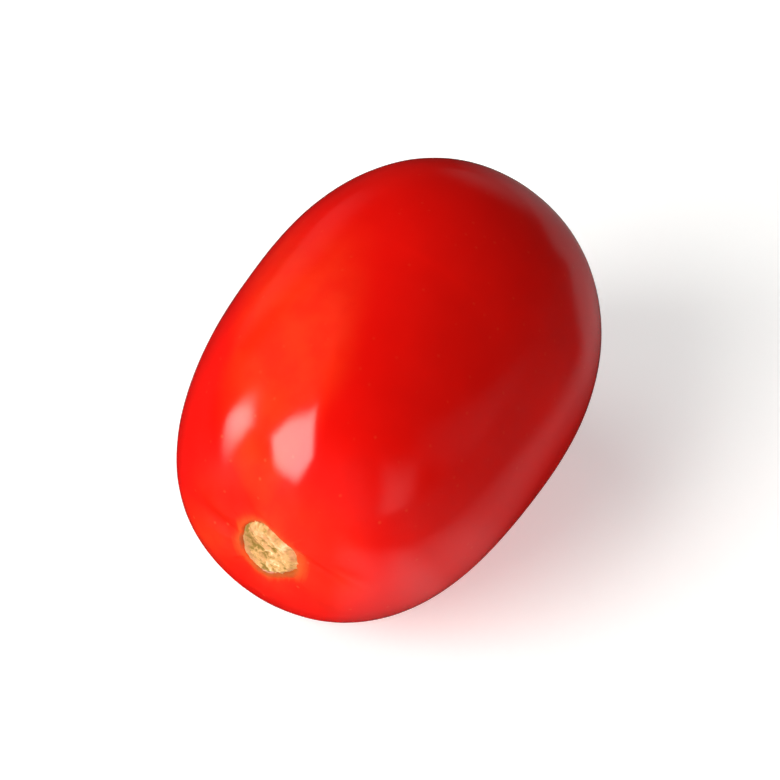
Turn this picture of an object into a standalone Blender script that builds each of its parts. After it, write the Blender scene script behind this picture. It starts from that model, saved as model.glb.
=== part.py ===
"""A ripe plum tomato, as picked, lying on its side on a small flat spot.

One solid: a blunt, slightly tapered barrel with three faint lobes. The stem end points towards -Y. It has
a shallow basin, five folds and a few low crests that run out between the shoulders, and a raised corky scar
where the stalk came off, a little off the end's middle. The blossom end points towards +Y and closes in a
tiny nub. Sizes are in metres, +Z is up, and the origin lies on the ground under the middle of the fruit.
"""

import math
from collections import namedtuple

import bmesh
import bpy
from mathutils import Matrix, Vector

# Driving sizes of the fruit
FRUIT_LENGTH = 0.067
FRUIT_WIDTH = 0.048
TAPER = 0.062  # the blossom end is this share wider than the middle
STEM_END_SHAPE = (2.57, 3.05)  # powers of length and width in the outline's superellipse
BLOSSOM_END_SHAPE = (2.26, 2.46)
CORE_BEND = Vector((0.0005, 0.0, -0.0005))  # how far the ends stand off the middle

# The barrel's cross-section: one lobe over each seed chamber, and a slight oval
LOBES = 3
LOBE_SHARE = 0.018
LOBE_ANGLE = math.radians(90.0)
OVAL_SHARE = 0.020
OVAL_ANGLE = math.radians(99.0)

# The stem end: basin, folds between the shoulders, corky scar
BASIN_DEPTH = 0.0012
BASIN_REACH = 0.0068
# A fold's angle is in degrees round the fruit, 90 on top. It drifts by so many degrees per metre, and the
# fold widens by a share of its distance from the scar. A negative depth is a crest.
Fold = namedtuple("Fold", "angle drift depth end left_width right_width spread")
FOLDS = (
    Fold(111.7, -1460.0, 0.00080, 0.047, 0.0029, 0.0033, 0.06),
    Fold(72.5, 1120.0, -0.00023, 0.039, 0.0019, 0.0019, 0.00),
    Fold(168.0, 0.0, 0.00072, 0.017, 0.0008, 0.0007, 0.11),
    Fold(179.0, 0.0, -0.00020, 0.014, 0.0009, 0.0009, 0.05),
    Fold(231.0, 0.0, 0.00051, 0.014, 0.0009, 0.0009, 0.17),
    Fold(300.0, 0.0, 0.00055, 0.015, 0.0009, 0.0009, 0.17),
    Fold(4.0, 0.0, 0.00040, 0.018, 0.0010, 0.0010, 0.18),
)
FOLD_ANGLE_AT = 0.0150  # a fold has its stated angle this far from the scar's middle
FOLD_START = 0.0010
FOLD_DEEPEST = 0.0100
FOLD_FADE_START = 0.0065
FOLD_NEAR = 0.0020  # nearer the pole than this, a fold doesn't draw the skin inwards any further
CREST_WAY = math.radians(59.0)  # the crest stands this way from the end's middle
CREST_AWAY = 0.0049
CREST_HEIGHT = 0.00026
CREST_WIDTH = 0.0011
VALLEY_WIDTH = 0.0013
VALLEY_GAP = 0.0017  # from the crest to the valley between it and the scar
CREST_RUN = (-0.0060, -0.0020, 0.0080, 0.0140)  # where along it the crest rises and runs out
SCAR_RADIUS = 0.0042
SCAR_ASIDE = Vector((-0.0011, 0.0, -0.0002))  # the scar sits a little off the end's middle
SCAR_ASIDE_REACH = 0.0080
SCAR_OVAL = (0.05, math.radians(125.0))  # share and direction of the scar's oval and three-cornered forms
SCAR_CORNERS = (0.06, math.radians(-125.0))
SCAR_FORM_END = 0.0130  # past here the rings of faces are round again
SCAR_HEIGHT = 0.00040
SCAR_RIM = 0.00035  # half the width of the step round the scar
PLUG_RADIUS = 0.0014
PLUG_HEIGHT = 0.0003
CORK_LUMP = 0.0009  # spacing of the lumps, over 2 pi
CORK_LUMP_HEIGHT = 0.00010

# The blossom end: a nub where the flower fell off, in a faint ring
NUB_HEIGHT = 0.0005
NUB_RADIUS = 0.0010
NUB_RING = 0.0028
NUB_RING_DEPTH = 0.00015

# How the fruit lies: turned so that its weight is over the flat spot
LIE_PITCH = math.radians(2.1)
LIE_ROLL = math.radians(-0.5)
FLAT_DEPTH = 0.00035  # how far the soft underside is pressed in

# Faces of the solid
MERIDIANS = 64
RINGS = 54
PROFILE_SAMPLES = 400
EVEN_SHARE = 0.28  # the rest of the ring spacing closes up towards both ends
RING_CLEARANCE = 0.00030  # least distance from a ring to one of the scar's rim
POINT_MERGE = 1e-6
FLAT_MERGE = 0.00005


def clear_scene():
    for obj in list(bpy.data.objects):
        bpy.data.objects.remove(obj)


def smooth_step(value, low, high):
    share = min(max((value - low) / (high - low), 0.0), 1.0)
    return share * share * (3.0 - 2.0 * share)


def smoother_step(value, low, high):
    """A step whose bending also fades out at both ends."""
    share = min(max((value - low) / (high - low), 0.0), 1.0)
    return share**3 * (share * (6.0 * share - 15.0) + 10.0)


def bell(value, width):
    return math.exp(-((value / width) ** 2))


def half_outline(shape, end):
    """Outline points (distance from the axis, place on the axis) from one end's pole to the middle."""
    length_power, width_power = shape
    points = []
    for step in range(PROFILE_SAMPLES + 1):
        width = math.sin(0.5 * math.pi * step / PROFILE_SAMPLES)
        along = end * (1.0 - width**width_power) ** (1.0 / length_power)
        points.append((0.5 * FRUIT_WIDTH * width * (1.0 + TAPER * along), 0.5 * FRUIT_LENGTH * along))
    return points


def ring_places(length):
    """Distances along the outline at which rings stand: closer at the ends, with three on the scar's rim."""
    rim = [SCAR_RADIUS - SCAR_RIM, SCAR_RADIUS, SCAR_RADIUS + SCAR_RIM]
    places = []
    for ring in range(RINGS + 1):
        share = ring / RINGS
        crowded = 0.5 * (1.0 - math.cos(math.pi * share))
        wanted = length * (EVEN_SHARE * share + (1.0 - EVEN_SHARE) * crowded)
        if min(abs(wanted - place) for place in rim) > RING_CLEARANCE:
            places.append(wanted)
    return sorted(places + rim)


def ring_outline():
    """The turned outline from the stem pole to the blossom pole, one point to a ring."""
    fine = half_outline(STEM_END_SHAPE, -1.0) + half_outline(BLOSSOM_END_SHAPE, 1.0)[-2::-1]
    run = [0.0]
    for (rho_a, y_a), (rho_b, y_b) in zip(fine, fine[1:]):
        run.append(run[-1] + math.hypot(rho_b - rho_a, y_b - y_a))
    points = []
    place = 0
    for wanted in ring_places(run[-1]):
        while place < len(run) - 2 and run[place + 1] < wanted:
            place += 1
        part = (wanted - run[place]) / (run[place + 1] - run[place])
        rho = fine[place][0] + part * (fine[place + 1][0] - fine[place][0])
        y = fine[place][1] + part * (fine[place + 1][1] - fine[place][1])
        points.append((max(rho, 0.0), y))
    return points


def angle_between(a, b):
    return (a - b + math.pi) % (2.0 * math.pi) - math.pi


def scar_form(theta, rho):
    """The factor that gives the scar, and the rings of faces near it, their uneven round form."""
    oval = SCAR_OVAL[0] * math.cos(2.0 * (theta - SCAR_OVAL[1]))
    corners = SCAR_CORNERS[0] * math.cos(3.0 * (theta - SCAR_CORNERS[1]))
    return 1.0 + (oval + corners) * (1.0 - smooth_step(rho, SCAR_RADIUS, SCAR_FORM_END))


def fold_depth(theta, rho, distance):
    """How deep the folds are at a place this far from the scar's middle."""
    depth = 0.0
    for fold in FOLDS:
        angle = math.radians(fold.angle + fold.drift * (distance - FOLD_ANGLE_AT))
        across = rho * angle_between(theta, angle)
        width = (fold.left_width if across > 0.0 else fold.right_width) + fold.spread * distance
        depth += fold.depth * bell(across, width) * (1.0 - smooth_step(distance, FOLD_FADE_START, fold.end))
    return depth * smoother_step(distance, FOLD_START, FOLD_DEEPEST)


def crest_height(x, z):
    """The crest and the valley that run past the scar on one side, in the plane of the stem end."""
    across = x * math.cos(CREST_WAY) + z * math.sin(CREST_WAY) - CREST_AWAY
    along = x * math.sin(CREST_WAY) - z * math.cos(CREST_WAY)
    rise = smooth_step(along, CREST_RUN[0], CREST_RUN[1])
    run_out = smooth_step(along, CREST_RUN[2], CREST_RUN[3])
    profile = bell(across, CREST_WIDTH) - bell(across + VALLEY_GAP, VALLEY_WIDTH)
    return CREST_HEIGHT * rise * (1.0 - run_out) * profile


def scar_height(theta, rho):
    """The corky scar's lumpy plateau and the plug in its middle."""
    plateau = 1.0 - smooth_step(rho, SCAR_RADIUS - SCAR_RIM, SCAR_RADIUS + SCAR_RIM)
    x, z = rho * math.cos(theta), rho * math.sin(theta)
    lumps = CORK_LUMP_HEIGHT * math.sin(x / CORK_LUMP + 1.0) * math.cos(z / CORK_LUMP)
    return plateau * (SCAR_HEIGHT + lumps + PLUG_HEIGHT * bell(rho, PLUG_RADIUS))


def blossom_height(rho):
    return NUB_HEIGHT * bell(rho, NUB_RADIUS) - NUB_RING_DEPTH * bell(rho - NUB_RING, NUB_RADIUS)


def grown(point):
    """Where a point of the plain turned barrel lies on the grown fruit."""
    rho = math.hypot(point.x, point.z)
    theta = math.atan2(point.z, point.x)
    along = point.y / (0.5 * FRUIT_LENGTH)
    lobes = LOBE_SHARE * math.cos(LOBES * (theta - LOBE_ANGLE))
    lobes += OVAL_SHARE * math.cos(2.0 * (theta - OVAL_ANGLE))
    swell = 1.0 + (1.0 - along**4) * lobes
    x, y, z = point.x * swell, point.y, point.z * swell
    if along < 0.0:
        distance = math.hypot(rho, point.y + 0.5 * FRUIT_LENGTH)
        fold = fold_depth(theta, rho, distance)
        y += fold + BASIN_DEPTH * bell(distance, BASIN_REACH) - scar_height(theta, rho) - crest_height(x, z)
        inward = scar_form(theta, rho) * (1.0 - fold / max(rho, FOLD_NEAR))
        x, z = x * inward, z * inward
        aside = SCAR_ASIDE * bell(distance, SCAR_ASIDE_REACH)
    else:
        y += blossom_height(rho)
        aside = Vector()
    return Vector((x, y, z)) + aside + CORE_BEND * (along * along - 1.0 / 3.0)


def turned_barrel():
    """The plain barrel, spun from its outline about the Y axis."""
    mesh = bmesh.new()
    verts = [mesh.verts.new((rho, y, 0.0)) for rho, y in ring_outline()]
    edges = [mesh.edges.new(pair) for pair in zip(verts, verts[1:])]
    bmesh.ops.spin(
        mesh,
        geom=verts + edges,
        cent=(0.0, 0.0, 0.0),
        axis=(0.0, 1.0, 0.0),
        angle=2.0 * math.pi,
        steps=MERIDIANS,
        use_merge=True,
    )
    bmesh.ops.remove_doubles(mesh, verts=mesh.verts, dist=POINT_MERGE)
    bmesh.ops.recalc_face_normals(mesh, faces=mesh.faces)
    return mesh


def press_flat(mesh):
    """Cuts the small flat spot that the fruit rests on, and caps it with one face."""
    ground = min(vert.co.z for vert in mesh.verts) + FLAT_DEPTH
    bmesh.ops.bisect_plane(
        mesh,
        geom=mesh.verts[:] + mesh.edges[:] + mesh.faces[:],
        dist=POINT_MERGE,
        plane_co=(0.0, 0.0, ground),
        plane_no=(0.0, 0.0, 1.0),
        clear_inner=True,
    )
    rim = [vert for vert in mesh.verts if vert.is_boundary]
    bmesh.ops.remove_doubles(mesh, verts=rim, dist=FLAT_MERGE)
    bmesh.ops.contextual_create(mesh, geom=[edge for edge in mesh.edges if edge.is_boundary])
    bmesh.ops.recalc_face_normals(mesh, faces=mesh.faces)


def set_on_origin(mesh):
    """Moves the fruit so that the origin is on the ground, under the middle of its bounding box."""
    low = Vector([min(vert.co[axis] for vert in mesh.verts) for axis in range(3)])
    high = Vector([max(vert.co[axis] for vert in mesh.verts) for axis in range(3)])
    middle = (low + high) / 2.0
    bmesh.ops.translate(mesh, verts=mesh.verts, vec=(-middle.x, -middle.y, -low.z))


def material(name, colour, roughness):
    made = bpy.data.materials.new(name)
    made.use_nodes = True
    shader = made.node_tree.nodes["Principled BSDF"]
    shader.inputs["Base Color"].default_value = (*colour, 1.0)
    shader.inputs["Roughness"].default_value = roughness
    shader.inputs["Metallic"].default_value = 0.0
    return made


def build_tomato():
    mesh = turned_barrel()
    for face in mesh.faces:
        middle = face.calc_center_median()
        if middle.y < 0.0 and math.hypot(middle.x, middle.z) < SCAR_RADIUS:
            face.material_index = 1
    for vert in mesh.verts:
        vert.co = grown(vert.co)
    turn = Matrix.Rotation(LIE_PITCH, 3, "X") @ Matrix.Rotation(LIE_ROLL, 3, "Y")
    bmesh.ops.rotate(mesh, verts=mesh.verts, cent=(0.0, 0.0, 0.0), matrix=turn)
    press_flat(mesh)
    set_on_origin(mesh)
    data = bpy.data.meshes.new("tomato")
    mesh.to_mesh(data)
    mesh.free()
    data.materials.append(material("tomato_skin", (0.62, 0.016, 0.006), 0.25))
    data.materials.append(material("corky_scar", (0.66, 0.42, 0.20), 0.80))
    data.shade_smooth()
    tomato = bpy.data.objects.new("tomato", data)
    bpy.context.scene.collection.objects.link(tomato)


clear_scene()
build_tomato()
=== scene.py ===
"""A ripe plum tomato lying in a plain studio, laid out as a Blender add-on and run as a script.

Three meshes make the fruit: its skin, the corky scar of the stalk and the small scar of the flower. They
share one set of form functions, so the scars follow the skin. Sizes are in metres and +Z is up. The stem end
points towards -Y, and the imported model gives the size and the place.
"""

import math
from collections import namedtuple

import bmesh
import bpy
from bpy.props import FloatProperty, FloatVectorProperty, PointerProperty
from mathutils import Matrix, Vector, noise


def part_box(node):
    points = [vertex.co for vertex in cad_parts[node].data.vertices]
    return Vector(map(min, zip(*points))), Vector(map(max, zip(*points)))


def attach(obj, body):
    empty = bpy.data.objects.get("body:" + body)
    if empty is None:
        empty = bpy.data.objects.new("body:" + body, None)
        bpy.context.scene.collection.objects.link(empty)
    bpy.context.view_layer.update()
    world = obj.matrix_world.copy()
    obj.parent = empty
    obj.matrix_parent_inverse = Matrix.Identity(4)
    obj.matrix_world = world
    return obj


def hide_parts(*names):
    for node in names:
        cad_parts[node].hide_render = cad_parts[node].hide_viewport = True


bl_info = {
    "name": "Plum Tomato",
    "version": (1, 0, 0),
    "blender": (4, 5, 0),
    "location": "3D View > Sidebar > Tomato",
    "description": "Builds a ripe plum tomato and the plain studio that it is seen in",
    "category": "Add Mesh",
}

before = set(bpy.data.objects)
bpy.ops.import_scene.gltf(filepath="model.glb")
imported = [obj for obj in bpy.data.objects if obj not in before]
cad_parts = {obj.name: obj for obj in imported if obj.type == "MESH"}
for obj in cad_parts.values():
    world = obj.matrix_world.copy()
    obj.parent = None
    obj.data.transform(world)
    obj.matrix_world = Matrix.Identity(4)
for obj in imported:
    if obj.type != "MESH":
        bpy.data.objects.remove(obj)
CAD_LOW, CAD_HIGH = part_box("tomato")
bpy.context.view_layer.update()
CAD_MIDDLE = (CAD_LOW + CAD_HIGH) / 2.0

# Outline of the turned barrel
TAPER = 0.062  # the blossom end is this share wider than the middle
STEM_END_SHAPE = (2.57, 3.05)  # powers of length and width in the outline's superellipse
BLOSSOM_END_SHAPE = (2.26, 2.46)
CORE_BEND = Vector((0.0005, 0.0, -0.0005))  # how far the ends stand off the middle

# Cross-section: one lobe over each seed chamber, and a slight oval
LOBES = 3
LOBE_SHARE = 0.018
LOBE_ANGLE = math.radians(90.0)
OVAL_SHARE = 0.020
OVAL_ANGLE = math.radians(99.0)

# The folds run out from the scar between the shoulders. Angles are in degrees round the fruit, 90 on top.
# A fold drifts by so many degrees per metre, and widens by a share of its distance from the scar.
# A negative depth makes a crest.
Fold = namedtuple("Fold", "angle drift depth end left_width right_width spread")
FOLDS = (
    Fold(111.7, -1460.0, 0.00080, 0.047, 0.0029, 0.0033, 0.06),
    Fold(72.5, 1120.0, -0.00023, 0.039, 0.0019, 0.0019, 0.00),
    Fold(168.0, 0.0, 0.00072, 0.017, 0.0008, 0.0007, 0.11),
    Fold(179.0, 0.0, -0.00020, 0.014, 0.0009, 0.0009, 0.05),
    Fold(231.0, 0.0, 0.00051, 0.014, 0.0009, 0.0009, 0.17),
    Fold(300.0, 0.0, 0.00055, 0.015, 0.0009, 0.0009, 0.17),
    Fold(4.0, 0.0, 0.00040, 0.018, 0.0010, 0.0010, 0.18),
)
FOLD_ANGLE_AT = 0.0150  # a fold has its stated angle this far from the scar's middle
FOLD_START = 0.0010
FOLD_DEEPEST = 0.0100
FOLD_FADE_START = 0.0065
FOLD_NEAR = 0.0020  # nearer the pole than this, a fold doesn't draw the skin inwards any further
FOLD_SHADE_DEPTH = 0.0010  # painted shade: the skin's colour darkens in step with the folds up to this depth
BASIN_REACH = 0.0068

# Ends of the fruit
SCAR_ASIDE = Vector((-0.0011, 0.0, -0.0002))  # the scar sits a little off the end's middle
SCAR_ASIDE_REACH = 0.0080
SCAR_OVAL = (0.05, math.radians(125.0))  # share and direction of the scar's oval and three-cornered forms
SCAR_CORNERS = (0.06, math.radians(-125.0))
SCAR_FORM_END = 0.0130  # past here the rings of faces are round again
CREST_WAY = math.radians(59.0)  # the crest beside the scar stands this way from the end's middle
CREST_AWAY = 0.0049
CREST_HEIGHT = 0.00026
CREST_WIDTH = 0.0011
CREST_RUN = (-0.0060, -0.0020, 0.0080, 0.0140)  # where along it the crest rises and runs out
VALLEY_GAP = 0.0017  # the valley lies this much nearer the scar than the crest does
VALLEY_WIDTH = 0.0013
NUB_RADIUS = 0.0010
NUB_RING = 0.0028
NUB_RING_DEPTH = 0.00015

# Fine relief of the skin. Edges and runs are distances from a scar's middle, in that scar's radii.
WAVE_SIZE = 0.013
RIDGE_FREQUENCY = 5.0
RIDGE_SHARE = 0.25  # height of the ridges against that of the waves
RIDGE_SINK = 0.6  # keeps the ridges below the plain outline
RELIEF_RUN = (1.2, 3.0)  # the waves and ridges grow outwards from the stem scar over this run
PIT_DEPTH = 0.0006  # the skin dips this far under the cork
PIT_EDGE = (0.86, 0.99)
LIP_HEIGHT = 0.00012  # the skin swells this much round the cork
LIP_RADIUS = 1.10
LIP_WIDTH = 0.09
PUCKER_HEIGHT = 0.00006
PUCKER_RUN = (0.98, 1.15, 1.25, 2.1)
BLOSSOM_RELIEF_RUN = (1.2, 4.0)
BLOSSOM_PIT_DEPTH = 0.0003
BLOSSOM_PIT_EDGE = (0.75, 0.98)

# The cork in the stem scar
CORK_REACH = 1.01  # the cork's face ends at this share of the scar's radius
CORK_RIM_THICKNESS = 0.0006
CORK_THICKNESS = 0.0009
CORK_SLOPE = (0.80, 1.04)  # shares of the radius between which the cork slopes down to the skin
CORK_DROP = 1.9  # at the end of the slope it has dropped by this many times its height
CORK_WAVES = ((0.05, 2.2, 1.0), (0.04, 7.0, 2.0))  # share, frequency and seed of the waves in its edge
CORK_SPIKES = (0.5, 13.0, 3.0)
CORK_SPIKE_FLOOR = 0.18
GRAIN_ANGLE = math.radians(-44.0)  # the cork's grain runs along the scar's long side
BLOTCH_SIZE = (0.0014, 0.0008)  # along and across the grain
RIDGE_SIZE = (0.0009, 0.0005)
CRUMB_SIZE = 0.00028
CORK_HOLLOWS = (  # place from the scar's middle, length, width, depth share
    (-0.00125, 0.00065, 0.0013, 0.00045, 1.0),
    (0.00135, 0.00090, 0.0005, 0.00040, 0.7),
    (-0.00310, 0.00110, 0.0012, 0.00040, 0.6),
    (-0.00010, -0.00320, 0.0010, 0.00030, 0.5),
    (0.00270, -0.00180, 0.0003, 0.00030, 0.5),
)
LOW_SHADED_SIDE_RUN = (0.0006, 0.0034)  # to one side the cork lies lower over this run from the middle, and is darker as painted shade
LOW_SHADED_SIDE_SHARE = 0.85
CORK_TONE = 0.40
CORK_TONES = (0.42, 0.14, 0.26, -0.75)  # what blotches, ridges, crumbs and hollows add to the cork's tone
CORK_RISES = (0.00006, 0.00008, 0.00005, -0.00025)  # and to its height

# The small dry scar at the blossom end
BLOSSOM_SCAR_RADIUS = 0.0012
BLOSSOM_SCAR_REACH = 1.02
BLOSSOM_SCAR_BACK = 0.6  # share of the radius that the flat back takes
BLOSSOM_SCAR_THICKNESS = 0.0006
BLOSSOM_WAVE = (0.16, 1.8, 7.0)
BLOSSOM_CRUMB_SIZE = 0.0004
BLOSSOM_CRUMB_DEPTH = 0.00004
BLOSSOM_SINK = 0.00022  # how far it lies under the nub's plain form, with its rim lower still
BLOSSOM_DROP = 0.0003
BLOSSOM_SLOPE = (0.7, 1.02)

# How the fruit lies
LIE_PITCH = math.radians(2.1)
LIE_ROLL = math.radians(-0.5)
FLAT_DEPTH = 0.00035  # how far the soft underside is pressed in

# Faces
SKIN_MERIDIANS = 320
SKIN_RINGS = 250
EVEN_SHARE = 0.35  # the rest of the ring spacing closes up towards both ends
PROFILE_SAMPLES = 600
SCAR_MERIDIANS = 240
SCAR_RINGS = 64
BLOSSOM_MERIDIANS = 72
BLOSSOM_RINGS = 20
FLOOR_SIDES = 96
POINT_MERGE = 1e-7

# Painted light on the lit flank: an orange stripe along the fruit, this way round its axis, that drifts to
# one side
LIT_FLANK_AXIS_HEIGHT = 0.0245
LIT_FLANK_WAY = (math.cos(math.radians(103.0)), 0.0, math.sin(math.radians(103.0)))
LIT_FLANK_EDGE = (0.85, 1.01)  # cosines off its way between which it grows
LIT_FLANK_END = (-0.018, 0.007)  # places along the fruit between which it fades
LIT_FLANK_DRIFT = 0.40
LIT_FLANK_STRAIGHT_AT = -0.0200
ORANGE_SPOT = (-0.0090, -0.0320, 0.0180)  # a small orange patch beside the scar
ORANGE_SPOT_EDGE = (0.002, 0.009)

# Where the skin's other colours fade out, in scar radii from the middle of the stem scar, or by height
SHOULDER_RUN = (1.0, 3.9)
# painted shade in the folds fades out over this run
FOLD_SHADE_RUN = (1.4, 3.2)
HALO_RUN = (-0.05, 0.40)  # from the scar's uneven edge
RIM_RUN = (1.00, 1.28)
FLECK_RUN = (1.5, 6.5)
SHOULDER_LOW_SHADE_RISE = (0.009, 0.021)  # painted shade: the shoulder's orange is weaker low down, and grows between these heights
HALO_TOP_SHADE_RISE = (0.0225, 0.0285)  # painted shade: the halo fades towards the top between these heights
SKIN_GRAIN = 900.0  # so many fine bumps go to a metre
SKIN_SWELL = 180.0
CORK_GRAIN = 4000.0
FLESH_RADII = (1.0, 0.12, 0.05)  # red light spreads furthest under the skin
FLESH_DEPTH = 0.004

# Camera, floor and room
AIM_SHIFT = (-0.0003, -0.0016)  # how far to the right of the fruit's middle and above it the camera aims
SENSOR_WIDTH = 36.0
FLOOR_RADIUS = 4.0
WALL_BRIGHTNESS = 0.9  # the room past the floor, for the camera
SKY_EDGE = (0.94, 1.0)  # cosines between which a bright place in the room grows
SKY_LOBES = (  # the room is a little brighter low down behind the fruit: way, brightness
    ((-0.122, 0.992, -0.035), 0.16),
    ((-0.840, 0.525, 0.139), 0.11),
)

# The glow that the fruit mirrors in the floor: a ring, measured against the fruit's outline. A lobe has a
# way on the floor in degrees, cosines off it between which it grows, and what it adds outside and inside.
GLOW_SCALE = (1.0 / 0.0237, 1.0 / 0.0335, 0.0)
GLOW_START = (1.1, 2.3)
GLOW_END = (2.0, 3.4)
GLOW_LEAST = 0.01
GLOW_START_LOBES = ((-45.0, 0.10, 0.85, -0.15, 0.50),)
GLOW_END_LOBES = (
    (-75.0, 0.80, 1.00, 0.0, 0.50),
    (80.0, 0.86, 0.99, 0.0, -4.0),
    (90.0, 0.93, 0.96, 0.0, -40.0),
)
GLOW_LOBES = (
    (-57.0, 0.88, 1.00, 0.0, 0.62),
    (-28.0, 0.85, 1.00, 0.0, 0.22),
    (30.0, 0.10, 0.50, 0.0, 0.20),
    (60.0, 0.95, 1.00, 0.0, 0.08),
    (-98.0, 0.90, 1.00, 0.0, 0.10),
)
FLOOR_BOUNCE_WAY = 5.0  # the floor this way from the fruit throws more light up at it
FLOOR_BOUNCE_EDGE = (0.20, 0.90)

# Lights: a softbox is a stack of panels whose sizes are shares of the stated size
SOFTBOX_COLOUR = (1.0, 0.985, 0.95)
PANEL_STEP = 0.01  # panels in one plane would hide one another where the skin mirrors them
KEY_ASIDE = math.radians(43.6)  # the main softbox stands this far to the left of the camera
KEY_RISE = math.radians(2.0)
KEY_ROLL = math.radians(24.7)
KEY_AWAY = 1.10
KEY_SIZE = (0.86, 0.76)
KEY_SHARES = (0.83, 0.95, 1.06, 1.17)
FILL_SHARES = (0.4, 0.55, 0.7, 0.85, 1.0)
# Name, also of its brightness setting, way from the fruit, distance, size, shares, whether it is mirrored
PANELS = (
    ("fill", (0.918, -0.383, 0.105), 0.60, (0.31, 0.42), FILL_SHARES, True),
    ("dim", (0.930, 0.350, 0.052), 0.60, (0.75, 0.22), FILL_SHARES, True),
    ("bounce", (0.362, -0.896, 0.259), 0.60, (0.60, 0.40), (1.0,), False),
    ("overhead", (-0.64, 0.06, 0.766), 0.80, (0.60, 0.60), (1.0,), False),
)


# Form: how a plain turned barrel becomes the grown fruit


def smooth_step(value, low, high):
    share = min(max((value - low) / (high - low), 0.0), 1.0)
    return share * share * (3.0 - 2.0 * share)


def smoother_step(value, low, high):
    """A step whose bending also fades out at both ends, so that no edge shows in the gloss."""
    share = min(max((value - low) / (high - low), 0.0), 1.0)
    return share**3 * (share * (6.0 * share - 15.0) + 10.0)


def bell(value, width):
    return math.exp(-((value / width) ** 2))


def window(value, run):
    """Rises over the first two places of the run and falls over the last two."""
    return smooth_step(value, run[0], run[1]) * (1.0 - smooth_step(value, run[2], run[3]))


def angle_between(a, b):
    return (a - b + math.pi) % (2.0 * math.pi) - math.pi


def round_place(co):
    """A point's distance from the long axis, its angle round it and its place along it."""
    return math.hypot(co.x, co.z), math.atan2(co.z, co.x), co.y


def round_noise(theta, frequency, seed):
    """Noise that runs round the fruit without a seam."""
    return noise.noise(Vector((frequency * math.cos(theta), frequency * math.sin(theta), seed)))


def half_outline(form, shape, end):
    """Outline points (distance from the axis, place on the axis) from one end's pole to the middle."""
    length_power, width_power = shape
    points = []
    for step in range(PROFILE_SAMPLES + 1):
        width = math.sin(0.5 * math.pi * step / PROFILE_SAMPLES)
        along = end * (1.0 - width**width_power) ** (1.0 / length_power)
        rho = 0.5 * form.fruit_width * width * (1.0 + TAPER * along)
        points.append((rho, 0.5 * form.fruit_length * along))
    return points


def ring_outline(form):
    """The turned outline from the stem pole to the blossom pole, one point to a ring."""
    fine = half_outline(form, STEM_END_SHAPE, -1.0) + half_outline(form, BLOSSOM_END_SHAPE, 1.0)[-2::-1]
    run = [0.0]
    for (rho_a, y_a), (rho_b, y_b) in zip(fine, fine[1:]):
        run.append(run[-1] + math.hypot(rho_b - rho_a, y_b - y_a))
    points = []
    place = 0
    for ring in range(SKIN_RINGS + 1):
        share = ring / SKIN_RINGS
        crowded = 0.5 * (1.0 - math.cos(math.pi * share))
        wanted = run[-1] * (EVEN_SHARE * share + (1.0 - EVEN_SHARE) * crowded)
        while place < len(run) - 2 and run[place + 1] < wanted:
            place += 1
        part = (wanted - run[place]) / (run[place + 1] - run[place])
        rho = fine[place][0] + part * (fine[place + 1][0] - fine[place][0])
        y = fine[place][1] + part * (fine[place + 1][1] - fine[place][1])
        points.append((max(rho, 0.0), y))
    return points


def pole_place(form, shape, end, rho):
    """Where on the axis the plain barrel's surface lies, this far from the axis near a pole."""
    length_power, width_power = shape
    width = rho / (0.5 * form.fruit_width * (1.0 + end * TAPER))
    return end * 0.5 * form.fruit_length * (1.0 - width**width_power) ** (1.0 / length_power)


def scar_form(theta, rho, form):
    """The factor that gives the scar, and the rings of faces near it, their uneven round form."""
    oval = SCAR_OVAL[0] * math.cos(2.0 * (theta - SCAR_OVAL[1]))
    corners = SCAR_CORNERS[0] * math.cos(3.0 * (theta - SCAR_CORNERS[1]))
    return 1.0 + (oval + corners) * (1.0 - smooth_step(rho, form.scar_radius, SCAR_FORM_END))


def fold_depth(theta, rho, distance):
    """How deep the folds are at a place this far from the scar's middle."""
    depth = 0.0
    for fold in FOLDS:
        angle = math.radians(fold.angle + fold.drift * (distance - FOLD_ANGLE_AT))
        across = rho * angle_between(theta, angle)
        width = (fold.left_width if across > 0.0 else fold.right_width) + fold.spread * distance
        depth += fold.depth * bell(across, width) * (1.0 - smooth_step(distance, FOLD_FADE_START, fold.end))
    return depth * smoother_step(distance, FOLD_START, FOLD_DEEPEST)


def grown(form, rho, theta, y):
    """Where a point of the plain turned barrel lies on the grown fruit."""
    half = 0.5 * form.fruit_length
    along = y / half
    lobes = LOBE_SHARE * math.cos(LOBES * (theta - LOBE_ANGLE))
    lobes += OVAL_SHARE * math.cos(2.0 * (theta - OVAL_ANGLE))
    reach = rho * (1.0 + (1.0 - along**4) * lobes)
    if along < 0.0:
        distance = math.hypot(rho, y + half)
        fold = form.fold_scale * fold_depth(theta, rho, distance)
        reach *= scar_form(theta, rho, form) * (1.0 - fold / max(rho, FOLD_NEAR))
        y += fold + form.basin_depth * bell(distance, BASIN_REACH)
        aside = SCAR_ASIDE * bell(distance, SCAR_ASIDE_REACH)
    else:
        y += form.nub_height * bell(rho, NUB_RADIUS)
        y -= NUB_RING_DEPTH * bell(rho - NUB_RING, NUB_RADIUS)
        aside = Vector()
    place = Vector((reach * math.cos(theta), y, reach * math.sin(theta)))
    return place + aside + CORE_BEND * (along * along - 1.0 / 3.0)


def shoulder_relief(x, z):
    """The crest and the valley that run past the scar on one side, in the plane of the stem end."""
    across = x * math.cos(CREST_WAY) + z * math.sin(CREST_WAY) - CREST_AWAY
    along = x * math.sin(CREST_WAY) - z * math.cos(CREST_WAY)
    valley = bell(across + VALLEY_GAP, VALLEY_WIDTH)
    return CREST_HEIGHT * window(along, CREST_RUN) * (bell(across, CREST_WIDTH) - valley)


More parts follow.
